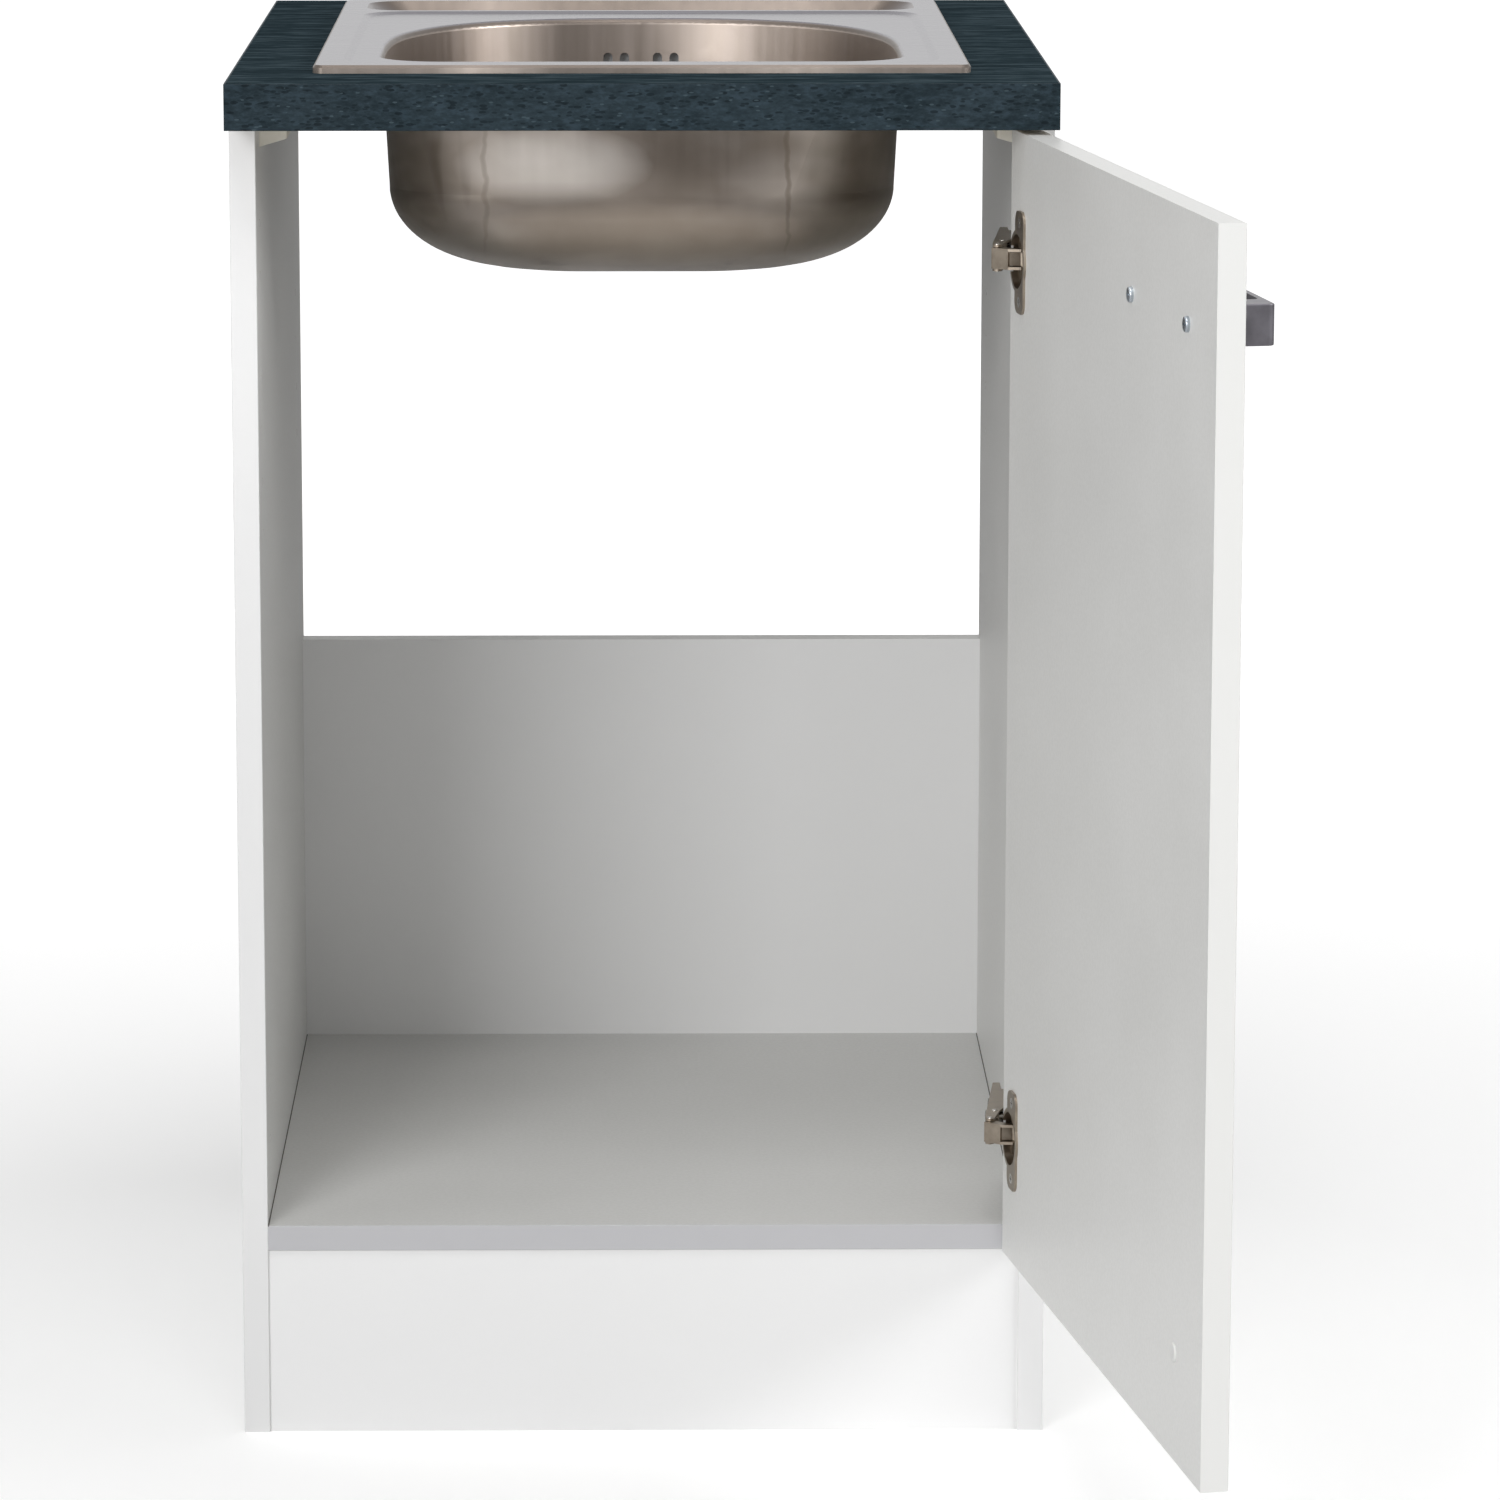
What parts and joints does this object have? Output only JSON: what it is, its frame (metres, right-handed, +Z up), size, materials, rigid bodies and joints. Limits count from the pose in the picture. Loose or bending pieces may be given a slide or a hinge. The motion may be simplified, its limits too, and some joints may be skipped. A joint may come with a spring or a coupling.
{
  "type": "kitchen sink unit",
  "caption": "Kitchen sink base unit: open-fronted cabinet with a hinged door on concealed hinges, a stone-effect worktop and an inset steel sink.",
  "frame": {"origin": "on the floor, midway across the cabinet, in the plane of the side panels' front edges", "axes": "+X to the right, +Y to the back, +Z up"},
  "size_m": [0.5911, 1.0503, 0.855],
  "materials": {
    "cabinet_board": "white melamine, satin",
    "door_board": "white melamine, satin",
    "worktop_laminate": "dark speckled stone-effect laminate",
    "worktop_edge": "dark speckled edge band",
    "sink_steel": "brushed stainless steel",
    "seal_rubber": "matt black",
    "clamp_steel": "galvanised",
    "zinc_steel": "zinc plated",
    "white_plastic": "white moulded",
    "cap_plastic": "white moulded",
    "beech": "fluted beech, dry",
    "hinge_nickel": "nickel plated, satin",
    "screw_nickel": "nickel plated",
    "handle_metal": "satin grey metal"
  },
  "bodies": {
    "cabinet": {"side_panel_left": "cabinet_board", "side_panel_right": "cabinet_board", "base_panel": "cabinet_board", "plinth_board": "cabinet_board", "back_panel": "cabinet_board", "worktop_bracket_front_left": "white_plastic", "worktop_bracket_front_right": "white_plastic", "worktop_bracket_rear_left": "white_plastic", "worktop_bracket_rear_right": "white_plastic", "screw_cover_caps": "cap_plastic", "carcass_screws": "zinc_steel", "panel_dowels": "beech", "worktop": "worktop_laminate", "worktop_edge_front": "worktop_edge", "worktop_edge_left": "worktop_edge", "worktop_edge_right": "worktop_edge", "bracket_top_screws": "zinc_steel", "bracket_side_screws": "zinc_steel", "sink": "sink_steel", "overflow_housing": "clamp_steel", "sink_seal": "seal_rubber", "sink_clamp_rails": "clamp_steel", "sink_clamps": "clamp_steel", "sink_clamp_screws": "zinc_steel", "hinge_plate_screws": "screw_nickel", "hinge_adjusting_screws": "screw_nickel", "hinge_fixing_screws": "screw_nickel", "hinge_plate_upper": "hinge_nickel", "hinge_arm_upper": "hinge_nickel", "hinge_arm_pins_upper": "hinge_nickel", "hinge_plate_lower": "hinge_nickel", "hinge_arm_lower": "hinge_nickel", "hinge_arm_pins_lower": "hinge_nickel"},
    "rear_links": {"hinge_rear_link_upper": "hinge_nickel", "hinge_rear_link_lower": "hinge_nickel"},
    "front_links": {"hinge_front_link_upper": "hinge_nickel", "hinge_front_link_lower": "hinge_nickel"},
    "door": {"door": "door_board", "door_blanking_cap": "cap_plastic", "handle": "handle_metal", "handle_screws": "screw_nickel", "hinge_cup_screws": "screw_nickel", "hinge_cup_upper": "hinge_nickel", "hinge_cup_lower": "hinge_nickel", "hinge_cup_pin_upper": "hinge_nickel", "hinge_cup_pin_lower": "hinge_nickel"}
  },
  "joints": [
    {"name": "rear_link_swing", "type": "hinge", "parent": "cabinet", "child": "rear_links", "pos_m": [0.2189, 0.0097, 0.4685], "axis": [0, 0, 1], "range_deg": [-0.8, 23.8]},
    {"name": "door_swing", "type": "hinge", "parent": "rear_links", "child": "door", "pos_m": [0.23006, -0.01464, 0.4685], "axis": [0, 0, 1], "range_deg": [-123.1, 3.5]},
    {"name": "front_link_swing", "type": "hinge", "parent": "cabinet", "child": "front_links", "pos_m": [0.215, -0.0086, 0.4685], "axis": [0, 0, 1], "range_deg": [-1.5, 46]}
  ],
  "couplings": [
    {"joint": "rear_link_swing", "follows": "door_swing", "ratio": -0.19253},
    {"joint": "front_link_swing", "follows": "door_swing", "ratio": -0.37287}
  ]
}
